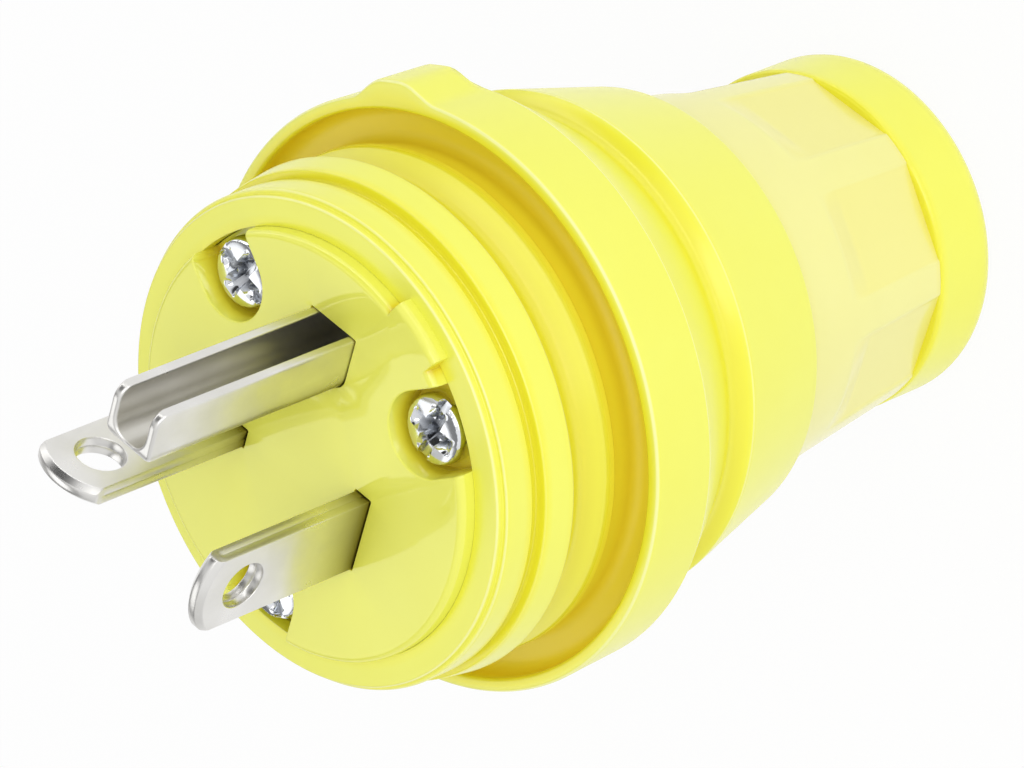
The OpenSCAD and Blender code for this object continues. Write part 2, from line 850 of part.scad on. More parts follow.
// Elastomer ring on the nut's sleeve; its flat end is the foot that the plug stands on
module end_collar() {
    floor_t = collar_len - sleeve_len;
    color(yellow)
        difference() {
            intersection() {
                translate([0, 0, collar_len])
                    mirror([0, 0, 1])
                        rounded_disc(collar_r, collar_len, collar_round);
                rotate_extrude()
                    polygon([[0, -past], [collar_r + past, -past], [collar_r + past, collar_len / 2],
                             [collar_r, collar_len - collar_edge], [collar_r - collar_edge, collar_len],
                             [0, collar_len]]);
            }
            translate([0, 0, floor_t])
                cylinder(h = collar_len, r = sleeve_r + collar_fit);
            translate([0, 0, -past])
                cylinder(h = collar_len, r = cord_r + collar_room);
        }
}

boot();
face_plate();
terminal_block();
housing();
line_blade();
neutral_blade();
ground_pin();
line_clamp();
neutral_clamp();
ground_clamp();
line_terminal_screw();
neutral_terminal_screw();
ground_terminal_screw();
face_screw(0);  // face_screw_1
face_screw(1);  // face_screw_2
face_screw(2);  // face_screw_3
cord_grommet();
slip_washer();
gland_nut();
end_collar();
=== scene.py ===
import math

import bmesh
import bpy
import numpy as np
from mathutils import Matrix, Vector
from mathutils.bvhtree import BVHTree
from mathutils.geometry import delaunay_2d_cdt


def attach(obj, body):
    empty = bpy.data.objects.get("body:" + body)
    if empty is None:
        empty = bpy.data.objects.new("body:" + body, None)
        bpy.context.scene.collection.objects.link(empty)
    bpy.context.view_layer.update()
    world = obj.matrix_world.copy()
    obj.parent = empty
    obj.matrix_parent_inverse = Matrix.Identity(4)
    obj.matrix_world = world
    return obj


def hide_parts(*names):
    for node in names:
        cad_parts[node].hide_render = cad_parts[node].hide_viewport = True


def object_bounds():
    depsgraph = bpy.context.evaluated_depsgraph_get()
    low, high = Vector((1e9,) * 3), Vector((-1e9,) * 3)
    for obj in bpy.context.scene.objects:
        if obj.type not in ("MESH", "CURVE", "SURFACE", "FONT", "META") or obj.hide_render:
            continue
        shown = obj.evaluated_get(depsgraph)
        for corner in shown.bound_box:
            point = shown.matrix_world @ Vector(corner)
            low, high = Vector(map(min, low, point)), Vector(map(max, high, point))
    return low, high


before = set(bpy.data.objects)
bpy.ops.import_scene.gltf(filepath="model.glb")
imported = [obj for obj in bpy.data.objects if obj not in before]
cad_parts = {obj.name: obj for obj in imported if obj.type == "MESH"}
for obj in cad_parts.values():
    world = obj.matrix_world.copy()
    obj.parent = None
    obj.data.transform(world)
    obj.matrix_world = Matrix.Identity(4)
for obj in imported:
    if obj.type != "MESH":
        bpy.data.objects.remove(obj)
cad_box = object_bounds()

# Flat blades
# Each is brass sheet folded flat on itself and nickel plated, with a bevelled round tip and a hole
# near it. Shoulders behind the face plate trap the blade, and its rear strip carries a wire clamp.
MM = 0.001
face_z = 62.4
blade_half_w = 3.175
blade_half_t = 0.76
blade_tip = 15.9
blade_corner = 14.8
tip_points = 40
tip_bevel = 0.42
bevel_soft = 0.05
bevel_depths = (0.2, 0.32, 0.38, 0.42, 0.46, 0.54)
bevel_points = 60
tip_hole_z = 11.7
tip_hole_r = 1.9
tip_hole_points = 72
strip_end = -20.0
ear_top = -5.0
ear_low = -6.6
ear_half_w = 4.1
terminal_z = -15.0
terminal_r = 1.85
terminal_points = 36
blade_step = 0.14
blade_edge = 0.11
point_gap = 1e-6
fold_line = [(0.05, 0.0), (0.0, 0.03), (-0.05, 0.0)]
fold_end = 14.0
line_at = (6.7, -2.7)
neutral_at = (-8.3, -2.7)
nickel_bright = (0.82, 0.81, 0.79, 1)
nickel_cloudy = (0.73, 0.72, 0.69, 1)
# Painted shade colour, where the blades and the pin leave the plate and inside the pin's channel.
nickel_shade = (0.25, 0.22, 0.08, 1)
nickel_gloss = (0.26, 0.36)
nickel_lines = (1, 1, 0.03)
cloud_scale = 260
line_scale = 5000
line_height = 0.004
line_strength = 0.25
pit_scale = 3800
pit_height = 0.004
pit_strength = 0.2
# Painted shade on the metal grows over this span of hollow values.
shade_start = 0.05
shade_end = 0.40


def soft_loop(corners, spacing, passes=1):
    """Points at even spacing along a closed outline, with its corners rounded off."""
    corners = np.array(corners, float)
    closed = np.vstack([corners, corners[:1]])
    run = np.concatenate([[0.0], np.cumsum(np.hypot(*np.diff(closed, axis=0).T))])
    at = np.linspace(0, run[-1], int(round(run[-1] / spacing)), endpoint=False)
    loop = np.column_stack([np.interp(at, run, closed[:, k]) for k in (0, 1)])
    for _ in range(passes):
        loop = (np.roll(loop, 1, 0) + 2 * loop + np.roll(loop, -1, 0)) / 4
    return loop


def arc(centre, radius, start, end, count):
    """Points along an arc, with angles in degrees."""
    turn = np.radians(np.linspace(start, end, count))
    return np.column_stack([centre[0] + radius * np.cos(turn), centre[1] + radius * np.sin(turn)])


def ring(centre, radius, count):
    """Points round a circle, clockwise."""
    return arc(centre, radius, 360, 360 / count, count)


def inset(loop, depth):
    """A closed loop's points moved to its left by a depth."""
    along = np.roll(loop, -1, 0) - np.roll(loop, 1, 0)
    along /= np.hypot(along[:, 0], along[:, 1])[:, None]
    return loop + depth * np.column_stack([-along[:, 1], along[:, 0]])


def gap(points, loop):
    """Distance from each point to a closed outline."""
    nearest = np.full(len(points), np.inf)
    for start, end in zip(loop, np.roll(loop, -1, 0)):
        run = end - start
        share = np.clip((points - start) @ run / (run @ run), 0, 1)
        nearest = np.minimum(nearest, np.hypot(*(points - start - share[:, None] * run).T))
    return nearest


def within(points, loop):
    """True for each point that lies inside a closed outline."""
    inside = np.zeros(len(points), bool)
    x, y = points[:, 0], points[:, 1]
    for (x0, y0), (x1, y1) in zip(loop, np.roll(loop, -1, 0)):
        if y0 != y1:
            crosses = (y0 > y) != (y1 > y)
            inside ^= crosses & (x < (x1 - x0) * (y - y0) / (y1 - y0) + x0)
    return inside


def round_over(depth, radius):
    """How far a rounded edge lies below its face, at a depth in from the outline."""
    back = np.clip(radius - depth, 0, radius)
    return radius - np.sqrt(radius ** 2 - back ** 2)


def edge_depths(radius, steps=5):
    """Depths in from an outline at which a rounded edge needs points."""
    return radius * (1 - np.cos(np.linspace(0, math.pi / 2, steps + 1)[1:]))


def drape(loops, points, top, low, folds=(), folded_to=0.0):
    """A closed solid over the area inside the first loop and outside the others. Its faces follow
    the heights top and low, and a wall joins them; folds are steps (height, depth) at mid wall, up
    to a line across."""
    edges, start = [], 0
    for loop in loops:
        edges += [(start + i, start + (i + 1) % len(loop)) for i in range(len(loop))]
        start += len(loop)
    flat, _, cells = delaunay_2d_cdt(
        [Vector(p) for p in np.vstack(list(loops) + list(points))], edges, [], 0, point_gap)[:3]
    flat = np.array([tuple(p) for p in flat])
    cells = np.array(cells)
    middles = flat[cells].mean(axis=1)
    kept = within(middles, loops[0])
    for hole in loops[1:]:
        kept &= ~within(middles, hole)
    used, cells = np.unique(cells[kept], return_inverse=True)
    flat, cells = flat[used], cells.reshape(-1, 3)
    pairs = [(int(c[k]), int(c[(k + 1) % 3])) for c in cells for k in range(3)]
    known = set(pairs)
    rim = [(i, j) for i, j in pairs if (j, i) not in known]
    count = len(flat)
    upper, lower = top(flat), low(flat)
    corners = [np.column_stack([flat, upper]), np.column_stack([flat, lower])]
    faces = cells.tolist() + (cells[:, ::-1] + count).tolist()
    outward = np.zeros((count, 2))
    for i, j in rim:
        run = flat[j] - flat[i]
        outward[[i, j]] += np.array([run[1], -run[0]]) / np.hypot(*run)
    outward /= np.maximum(np.hypot(outward[:, 0], outward[:, 1]), point_gap)[:, None]
    folded = np.where(flat[:, 1] < folded_to, 1.0, 0.0)[:, None]
    for height, depth in folds:
        corners.append(np.column_stack(
            [flat - depth * folded * outward, (upper + lower) / 2 + height]))
    rows = [0] + list(range(2, 2 + len(folds))) + [1]
    for i, j in rim:
        for above, below in zip(rows, rows[1:]):
            a, b = above * count, below * count
            faces.append((b + i, b + j, a + j, a + i))
    return np.vstack(corners), faces


def add_piece(name, corners, faces, sharp=50):
    """A mesh from points in millimetres, smooth except at edges sharper than an angle."""
    work = bmesh.new()
    spots = [work.verts.new(c) for c in np.asarray(corners) * MM]
    for face in faces:
        work.faces.new([spots[i] for i in face])
    bmesh.ops.delete(work, geom=[v for v in work.verts if not v.link_faces], context="VERTS")
    bmesh.ops.recalc_face_normals(work, faces=work.faces)
    mesh = bpy.data.meshes.new(name)
    work.to_mesh(mesh)
    work.free()
    mesh.shade_smooth()
    mesh.set_sharp_from_angle(angle=math.radians(sharp))
    piece = bpy.data.objects.new(name, mesh)
    bpy.context.scene.collection.objects.link(piece)
    return piece


def stand_for(piece, node, material):
    """Puts a finished piece in a node's place."""
    piece.data.materials.append(material)
    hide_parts(node)
    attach(piece, "root")


def start_material(name):
    """A material, its node tree, its shader, and the place on the piece in metres."""
    material = bpy.data.materials.new(name)
    material.use_nodes = True
    tree = material.node_tree
    shader = tree.nodes["Principled BSDF"]
    place = tree.nodes.new("ShaderNodeTexCoord").outputs["Object"]
    return material, tree, shader, place


def noise(tree, place, per_metre, detail=3.0, stretch=(1, 1, 1)):
    """A noise value from 0 to 1, with so many bumps per metre, drawn out by stretch."""
    mapping = tree.nodes.new("ShaderNodeMapping")
    mapping.inputs["Scale"].default_value = stretch
    texture = tree.nodes.new("ShaderNodeTexNoise")
    texture.inputs["Scale"].default_value = per_metre
    texture.inputs["Detail"].default_value = detail
    tree.links.new(place, mapping.inputs["Vector"])
    tree.links.new(mapping.outputs["Vector"], texture.inputs["Vector"])
    return texture.outputs["Fac"]


def between(tree, value, low, high, start=0.3, end=0.7):
    """Spreads a value from start to end over low to high."""
    spread = tree.nodes.new("ShaderNodeMapRange")
    spread.inputs["From Min"].default_value = start
    spread.inputs["From Max"].default_value = end
    spread.inputs["To Min"].default_value = low
    spread.inputs["To Max"].default_value = high
    tree.links.new(value, spread.inputs["Value"])
    return spread.outputs["Result"]


def feed(tree, value, socket):
    """Links a node's value to a socket, or sets the socket to a fixed value."""
    if isinstance(value, bpy.types.NodeSocket):
        tree.links.new(value, socket)
    else:
        socket.default_value = value


def mix_colours(tree, share, first, second):
    """Mixes two colours, each fixed or from a node, by a share from 0 to 1."""
    mix = tree.nodes.new("ShaderNodeMix")
    mix.data_type = "RGBA"
    tree.links.new(share, mix.inputs[0])
    # Inputs 6 and 7 and output 2 are the node's sockets for colours.
    feed(tree, first, mix.inputs[6])
    feed(tree, second, mix.inputs[7])
    return mix.outputs[2]


def stored(tree, name):
    """A value from 0 to 1 that is stored on the piece's corners."""
    attribute = tree.nodes.new("ShaderNodeAttribute")
    attribute.attribute_name = name
    return attribute.outputs["Fac"]


def bumps(tree, value, height, strength, under=None):
    """A surface normal with bumps of that height in metres, over other bumps if given."""
    bump = tree.nodes.new("ShaderNodeBump")
    bump.inputs["Distance"].default_value = height
    bump.inputs["Strength"].default_value = strength
    tree.links.new(value, bump.inputs["Height"])
    if under is not None:
        tree.links.new(under, bump.inputs["Normal"])
    return bump.outputs["Normal"]


def plated_metal(name, bright, cloudy, shade_colour, gloss, line_stretch):
    """Plated sheet or wire: cloudy colour, painted shade in its hollows, uneven gloss, drawn lines
    and fine pits.
    """
    material, tree, shader, place = start_material(name)
    shader.inputs["Metallic"].default_value = 1.0
    clouds = noise(tree, place, cloud_scale, detail=4)
    lines = noise(tree, place, line_scale, detail=4, stretch=line_stretch)
    pits = noise(tree, place, pit_scale, detail=2)
    # Painted shade: the colour turns towards a dark shade colour as the hollow value grows.
    painted_shade_share = between(tree, stored(tree, "hollow"), 0, 1, shade_start, shade_end)
    tint = mix_colours(tree, between(tree, clouds, 0, 1), bright, cloudy)
    tree.links.new(mix_colours(tree, painted_shade_share, tint, shade_colour), shader.inputs["Base Color"])
    tree.links.new(between(tree, clouds, *gloss), shader.inputs["Roughness"])
    drawn = bumps(tree, lines, line_height * MM, line_strength)
    pitted = bumps(tree, pits, pit_height * MM, pit_strength, drawn)
    tree.links.new(pitted, shader.inputs["Normal"])
    return material


tip_r = (blade_half_w ** 2 + (blade_tip - blade_corner) ** 2) / (2 * (blade_tip - blade_corner))
tip_centre = (0.0, blade_tip - tip_r)
tip_turn = math.degrees(math.asin(blade_half_w / tip_r))
half_outline = [(blade_half_w, strip_end), (blade_half_w, ear_low), (ear_half_w, ear_low),
                (ear_half_w, ear_top), (blade_half_w, ear_top)]
blade_corners = np.vstack([
    half_outline, arc(tip_centre, tip_r, 90 - tip_turn, 90 + tip_turn, tip_points),
    [(-u, w) for u, w in reversed(half_outline)]])
blade_loop = soft_loop(blade_corners, blade_step)
tip_hole = ring((0, tip_hole_z), tip_hole_r, tip_hole_points)
terminal_hole = ring((0, terminal_z), terminal_r, terminal_points)
blade_loops = [blade_loop, tip_hole, terminal_hole]
bevel_lines = [arc(tip_centre, tip_r - d, 90 - tip_turn, 90 + tip_turn, bevel_points)
               for d in bevel_depths]
blade_points = [inset(loop, d) for loop in blade_loops for d in edge_depths(blade_edge)]


def blade_height(flat):
    """Half of the blade's thickness: rounded along its outline and holes, bevelled at the tip."""
    depth = np.min([gap(flat, loop) for loop in blade_loops], axis=0)
    from_tip = tip_r - np.hypot(flat[:, 0], flat[:, 1] - tip_centre[1])
    bevel = tip_bevel - from_tip
    bevel = (bevel + np.sqrt(bevel ** 2 + bevel_soft ** 2)) / 2
    bevel = np.where(flat[:, 1] > tip_centre[1], bevel, 0)
    return blade_half_t - np.maximum(bevel, round_over(depth, blade_edge))


blade_shape, blade_faces = drape(blade_loops, blade_points + bevel_lines, blade_height,
                                 lambda flat: -blade_height(flat), fold_line, fold_end)
across, along, out = blade_shape.T
nickel = plated_metal(
    "nickel_plate", nickel_bright, nickel_cloudy, nickel_shade, nickel_gloss, nickel_lines)
line_blade = add_piece("line_blade_sheet", np.column_stack(
    [line_at[0] + out, line_at[1] - across, face_z + along]), blade_faces)
stand_for(line_blade, "line_blade", nickel)
neutral_blade = add_piece("neutral_blade_sheet", np.column_stack(
    [neutral_at[0] + across, neutral_at[1] + out, face_z + along]), blade_faces)
stand_for(neutral_blade, "neutral_blade", nickel)

# Ground pin
# Brass sheet folded to a U that is open away from the blades, with rounded front corners, nickel
# plated. A flat tang behind the face plate carries the green screw's clamp.
pin_y = 9.2
pin_half_w = 2.3
pin_half_h = 2.35
pin_wall = 0.75
pin_fold = 1.2
fold_points = 12
channel_points = 24
pin_tip = 19.1
pin_nose = 1.3
pin_edge = 0.28
pin_step = 0.09
pin_passes = 4
tang_step = 0.2
ray_count = 120
ray_lift = 0.02

channel_r = pin_half_w - pin_wall
channel_y = -pin_half_h + pin_wall + channel_r
fold_x = pin_half_w - pin_fold
fold_y = -pin_half_h + pin_fold
pin_corners = np.vstack([
    arc((-fold_x, fold_y), pin_fold, 180, 270, fold_points),
    arc((fold_x, fold_y), pin_fold, 270, 360, fold_points),
    [(pin_half_w, pin_half_h), (channel_r, pin_half_h)],
    arc((0, channel_y), channel_r, 0, -180, channel_points),
    [(-channel_r, pin_half_h), (-pin_half_w, pin_half_h)]])
pin_loop = soft_loop(pin_corners, pin_step, pin_passes)
pin_points = [inset(pin_loop, d) for d in edge_depths(pin_edge)]


def pin_height(flat):
    """Front end of the pin, rounded at its corners and along the sheet's edge."""
    past = np.clip(np.abs(flat[:, 1]) - (pin_half_h - pin_nose), 0, pin_nose)
    nose = pin_tip - pin_nose + np.sqrt(pin_nose ** 2 - past ** 2)
    return nose - round_over(gap(flat, pin_loop), pin_edge)


def flat_at(height):
    """A face of drape that lies level at a height."""
    return lambda flat: np.full(len(flat), height)


def store_shares(piece, name, shares):
    """Stores a value from 0 to 1 on each corner; a turned piece repeats its section's values."""
    values = piece.data.attributes.new(name, "FLOAT", "POINT").data
    values.foreach_set("value", np.resize(shares, len(piece.data.vertices)))


# The values it finds lay painted shade in the materials' colours.
def find_hollows(piece, around, section=None, weight=1.0, blur=0.5):
    """How closely the things around stand at each corner, each within the reach given with it. On
    a turned piece one section stands for all, and the values are weighed and blurred along it, as
    light spreads."""
    spread = np.sqrt((np.arange(ray_count) + 0.5) / ray_count)
    turns = np.arange(ray_count) * math.pi * (3 - math.sqrt(5))
    rays = [Vector(ray) for ray in np.column_stack(
        [spread * np.cos(turns), spread * np.sin(turns), np.sqrt(1 - spread ** 2)])]
    corners = piece.data.vertices if section is None else piece.data.vertices[:len(section)]
    shares = np.zeros((len(corners), ray_count))
    for thing, reach in around:
        surfaces = BVHTree.FromPolygons([corner.co for corner in thing.data.vertices],
                                        [tuple(side.vertices) for side in thing.data.polygons])
        for row, corner in zip(shares, corners):
            turned = corner.normal.to_track_quat("Z", "Y")
            start = corner.co + corner.normal * ray_lift * MM
            for k, ray in enumerate(rays):
                hit = surfaces.ray_cast(start, turned @ ray, reach * MM)[3]
                if hit is not None:
                    row[k] = max(row[k], 1 - hit / (reach * MM))
    shares = shares.mean(axis=1) * weight
    if section is not None:
        steps = np.hypot(*(np.roll(section, -1, 0) - section).T)
        at = np.cumsum(steps) - steps
        apart = np.abs(at[:, None] - at)
        apart = np.minimum(apart, steps.sum() - apart)
        weights = np.exp(-0.5 * (apart / blur) ** 2) * (steps + np.roll(steps, 1))
        shares = weights @ shares / weights.sum(axis=1)
    return shares


pin_shape, pin_faces = drape([pin_loop], pin_points, pin_height, flat_at(ear_low))
tang_loop = soft_loop(half_outline + [(-u, w) for u, w in reversed(half_outline)], tang_step)
tang_shape, tang_faces = drape(
    [tang_loop, terminal_hole], [], flat_at(pin_wall / 2), flat_at(-pin_wall / 2))
tang_y = pin_y - pin_half_h + pin_wall / 2
pin_spots = np.column_stack([pin_shape[:, 0], pin_shape[:, 1] + pin_y, pin_shape[:, 2] + face_z])
tang_spots = np.column_stack(
    [tang_shape[:, 0], tang_shape[:, 2] + tang_y, tang_shape[:, 1] + face_z])
ground_pin = add_piece(
    "ground_pin_sheet", np.vstack([pin_spots, tang_spots]),
    pin_faces + [[i + len(pin_spots) for i in f] for f in tang_faces])
stand_for(ground_pin, "ground_pin", nickel)

# Terminal screws and clamp plates
# Slotted screws press a square plate on to each strip: brass for line, plated steel for neutral
# and green plated steel for ground. They sit behind the face and are turned with a screwdriver.
clamp_edge = 0.12
merge_gap = 1e-6
flat_angle = 0.004
edge_angle = 0.42
brass_bright = (0.80, 0.60, 0.25, 1)
brass_dull = (0.66, 0.46, 0.17, 1)
brass_gloss = (0.2, 0.36)
green_bright = (0.10, 0.36, 0.17, 1)
green_dull = (0.06, 0.26, 0.12, 1)
green_gloss = (0.22, 0.38)
screw_lines = (1, 1, 0.2)
zinc_bright = (0.84, 0.86, 0.89, 1)
zinc_dull = (0.74, 0.76, 0.79, 1)
# Painted shade colour, for the slot and the cross of the face screws' heads.
zinc_shade = (0.20, 0.21, 0.23, 1)
zinc_gloss = (0.07, 0.16)
zinc_lines = (1, 1, 0.3)


def soften_edges(piece, width, segments=3):
    """Joins a node's faces, merges its flat triangles and rounds its sharp edges."""
    weld = piece.modifiers.new("join_faces", "WELD")
    weld.merge_threshold = merge_gap
    flat = piece.modifiers.new("merge_flat", "DECIMATE")
    flat.decimate_type = "DISSOLVE"
    flat.angle_limit = flat_angle
    round_off = piece.modifiers.new("round_edges", "BEVEL")
    round_off.width = width * MM
    round_off.segments = segments
    round_off.limit_method = "ANGLE"
    round_off.angle_limit = edge_angle
    round_off.harden_normals = True
    round_off.use_clamp_overlap = True


def dress(piece, material):
    """Gives a node its finish."""
    piece.data.materials.clear()
    piece.data.materials.append(material)


# Brass and green also use their cloudy colour as the painted shade colour. Their nodes store no
# hollows, so no shade is painted on them.
brass = plated_metal(
    "plain_brass", brass_bright, brass_dull, brass_dull, brass_gloss, screw_lines)
green = plated_metal(
    "green_plate", green_bright, green_dull, green_dull, green_gloss, screw_lines)
zinc = plated_metal("zinc_plate", zinc_bright, zinc_dull, zinc_shade, zinc_gloss, zinc_lines)
terminal_finishes = {
    "line_clamp": brass, "line_terminal_screw": brass,
    "neutral_clamp": zinc, "neutral_terminal_screw": zinc,
    "ground_clamp": zinc, "ground_terminal_screw": green,
}
for name, finish in terminal_finishes.items():
    soften_edges(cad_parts[name], clamp_edge)
    dress(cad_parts[name], finish)

# Terminal block, housing and slip washer
# Hidden insulators of natural nylon: a block that traps the blades, a barrel with screw bosses
# and a threaded spigot, and a plain washer. They are moulded, with a satin surface.
inner_edge = 0.15
plastic_specular = 0.8
patch_scale = 110
flow_scale = 90
flow_strength = 0.1
skin_scale = 2600
skin_strength = 0.2
hollow_start = 0.015
matt_start = 0.1
matt_end = 0.36
matt_level = 0.55
nylon_light = (0.80, 0.78, 0.70, 1)
nylon_dark = (0.72, 0.69, 0.60, 1)
# Painted shade colours. The hidden nylon nodes store no hollows, so none of it shows.
nylon_hollows = [(0.17, (0.72, 0.69, 0.60, 1)), (0.60, (0.60, 0.55, 0.44, 1))]
nylon_gloss = (0.38, 0.5)
nylon_skin = 0.004


def worked(tree, operation, first, second):
    """The result of one step of arithmetic on two values, each fixed or from a node."""
    step = tree.nodes.new("ShaderNodeMath")
    step.operation = operation
    feed(tree, first, step.inputs[0])
    feed(tree, second, step.inputs[1])
    return step.outputs[0]


def moulded(name, light, dark, hollows, gloss, skin_height, highlight_colour=None):
    """Moulded plastic or elastomer: slight patches, painted shade in its hollows, in the richer
    colours of light that arrives through the material, edges painted paler as highlights if given,
    uneven gloss and the mould's skin."""
    material, tree, shader, place = start_material(name)
    shader.inputs["Specular IOR Level"].default_value = plastic_specular
    patches = noise(tree, place, patch_scale)
    skin = noise(tree, place, skin_scale)
    flow = noise(tree, place, flow_scale, detail=2)
    hollow = stored(tree, "hollow")
    tint = mix_colours(tree, between(tree, patches, 0, 1), light, dark)
    # Painted shade: the colour turns to the stops' richer, darker colours as the hollow value grows.
    ramp = tree.nodes.new("ShaderNodeValToRGB")
    stops = ramp.color_ramp.elements
    stops[0].position, stops[0].color = hollows[0]
    stops[1].position, stops[1].color = hollows[-1]
    for position, colour in hollows[1:-1]:
        stops.new(position).color = colour
    tree.links.new(hollow, ramp.inputs["Fac"])
    tinted = between(tree, hollow, 0, 1, hollow_start, hollows[0][0])
    tint = mix_colours(tree, tinted, tint, ramp.outputs["Color"])
    # Painted highlight: rounded outer edges turn pale where the edge value is set.
    if highlight_colour is not None:
        tint = mix_colours(tree, stored(tree, "edge"), tint, highlight_colour)
    tree.links.new(tint, shader.inputs["Base Color"])
    matt = between(tree, hollow, 0, matt_level, matt_start, matt_end)
    rough = worked(tree, "MAXIMUM", between(tree, flow, *gloss), matt)
    tree.links.new(rough, shader.inputs["Roughness"])
    waves = bumps(tree, flow, 2 * skin_height * MM, flow_strength)
    grained = bumps(tree, skin, skin_height * MM, skin_strength, waves)
    tree.links.new(grained, shader.inputs["Normal"])
    return material


natural_nylon = moulded(
    "natural_nylon", nylon_light, nylon_dark, nylon_hollows, nylon_gloss, nylon_skin)
for name in ("terminal_block", "housing", "slip_washer"):
    soften_edges(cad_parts[name], inner_edge)
    dress(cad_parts[name], natural_nylon)

# Face plate
# Hard yellow nylon disc with slots for the blades, screw pockets that open to its edge and a key
# tab over the rim. It is moulded with a polished front, so the blades mirror faintly in it.
plate_r = 16.45
plate_low = 57.4
plate_edge = 0.6
plate_edge_steps = 7
edge_step = 0.5
tab_reach = 1.2
tab_middle = 65.0
tab_half_arc = 8.5
tab_side = 0.7
tab_steps = 15
tab_seam = 0.01
tab_low = 61.1
pocket_angles = (40, 140, 270)
pocket_ring = 13.4
pocket_r = 3.3
pocket_floor = 59.6
pocket_edge = 0.14
pocket_draft = 0.06
pocket_points = 90
wall_step = 0.15
screw_hole_r = 1.65
screw_hole_points = 24
slot_room = 0.08
slot_step = 0.12
slot_edge = 0.06
slot_edge_steps = 3
plate_light = (0.90, 0.91, 0.13, 1)
plate_dark = (0.89, 0.89, 0.115, 1)
# Painted shade colours for the plate's screw pockets.
plate_hollows = [(0.16, (0.86, 0.75, 0.04, 1)), (0.55, (0.50, 0.30, 0.012, 1))]
plate_gloss = (0.05, 0.10)
plate_skin = 0.0004
plate_reach_in = 3.0
blade_reach_in = 9.0
channel_reach_in = 4.5


def plate_reach(turn):
    """Radius of the plate's edge in a direction in degrees: a circle with the key tab on it."""
    off = np.abs((turn - tab_middle + 180) % 360 - 180)
    rise = np.clip((tab_half_arc + tab_side / 2 - off) / tab_side, 0, 1)
    return plate_r + tab_reach * rise * rise * (3 - 2 * rise)


def pocket_gap(flat):
    """Distance out of the nearest screw pocket, negative inside it."""
    nearest = np.full(len(flat), np.inf)
    for angle in np.radians(pocket_angles):
        out = flat @ (math.cos(angle), math.sin(angle)) - pocket_ring
        side = flat @ (-math.sin(angle), math.cos(angle))
        nearest = np.minimum(
            nearest, np.where(out < 0, np.hypot(out, side), np.abs(side)) - pocket_r)
    return nearest


def slot_loop(centre, half_w, half_h):
    """Outline of a slot for a flat blade."""
    (x, y), w, h = centre, half_w + slot_room, half_h + slot_room
    return soft_loop([(x - w, y - h), (x - w, y + h), (x + w, y + h), (x + w, y - h)], slot_step)


pocket_depths = [-pocket_draft, 0.0] + list(edge_depths(pocket_edge))
mouth_turns = [angle + side * math.degrees(math.asin((pocket_r + depth) / plate_r))
               for angle in pocket_angles for depth in pocket_depths for side in (-1, 1)]
tab_turns = [tab_middle + side * (tab_half_arc + step)
             for side in (-1, 1) for step in np.linspace(-tab_side, tab_side, tab_steps)]
edge_turns = np.unique(np.concatenate([np.arange(0, 360, edge_step), mouth_turns, tab_turns]))
edge_circle = np.column_stack([np.cos(np.radians(edge_turns)), np.sin(np.radians(edge_turns))])
plate_outline = edge_circle * plate_reach(edge_turns)[:, None]
slot_loops = [
    slot_loop(line_at, blade_half_t, blade_half_w),
    slot_loop(neutral_at, blade_half_w, blade_half_t),
    soft_loop(np.vstack([
        arc((-fold_x, fold_y + pin_y), pin_fold + slot_room, 270, 180, fold_points),
        [(-pin_half_w - slot_room, pin_y + pin_half_h + slot_room),
         (pin_half_w + slot_room, pin_y + pin_half_h + slot_room)],
        arc((fold_x, fold_y + pin_y), pin_fold + slot_room, 360, 270, fold_points)]), slot_step)]
hole_loops = [
    ring((pocket_ring * math.cos(a), pocket_ring * math.sin(a)), screw_hole_r, screw_hole_points)
    for a in np.radians(pocket_angles)]
plate_points = [edge_circle * (plate_reach(edge_turns) - d)[:, None]
                for d in edge_depths(plate_edge, plate_edge_steps)]
plate_points += [inset(loop, d) for loop in slot_loops
                 for d in edge_depths(slot_edge, slot_edge_steps)]
wall_run = np.arange(wall_step, plate_r - pocket_ring, wall_step)[:, None]
for angle in pocket_angles:
    out_of, side_of = (np.array([math.cos(math.radians(a)), math.sin(math.radians(a))])
                       for a in (angle, angle + 90))
    for depth in pocket_depths:
        width = pocket_r + depth
        plate_points += [
            arc(pocket_ring * out_of, width, angle + 90, angle + 270, pocket_points),
            pocket_ring * out_of + wall_run * out_of + width * side_of,
            pocket_ring * out_of + wall_run * out_of - width * side_of]
plate_points += [edge_circle * (plate_r + off) for off in (-tab_seam, 2 * tab_seam)]


def plate_height(flat):
    """Front of the plate: rounded at its edge, sunk at the pockets, eased round the slots."""
    reach = plate_reach(np.degrees(np.arctan2(flat[:, 1], flat[:, 0])))
    front = face_z - round_over(reach - np.hypot(flat[:, 0], flat[:, 1]), plate_edge)
    slots = np.min([gap(flat, loop) for loop in slot_loops], axis=0)
    front = front - round_over(slots, slot_edge)
    pocket = pocket_gap(flat)
    front = front - round_over(np.maximum(pocket, 0), pocket_edge)
    return np.where(pocket < -pocket_draft / 2, pocket_floor, front)


def plate_back(flat):
    """Back of the plate, and the underside of the tab above the rim."""
    return np.where(np.hypot(flat[:, 0], flat[:, 1]) > plate_r + tab_seam, tab_low, plate_low)


plate_shape, plate_faces = drape(
    [plate_outline] + slot_loops + hole_loops, plate_points, plate_height, plate_back)
plate_nylon = moulded(
    "plate_nylon", plate_light, plate_dark, plate_hollows, plate_gloss, plate_skin)
face_plate = add_piece("face_plate_disc", plate_shape, plate_faces)
# The plate's hollows paint shade into its pockets.
store_shares(face_plate, "hollow", find_hollows(face_plate, [(face_plate, plate_reach_in)]))
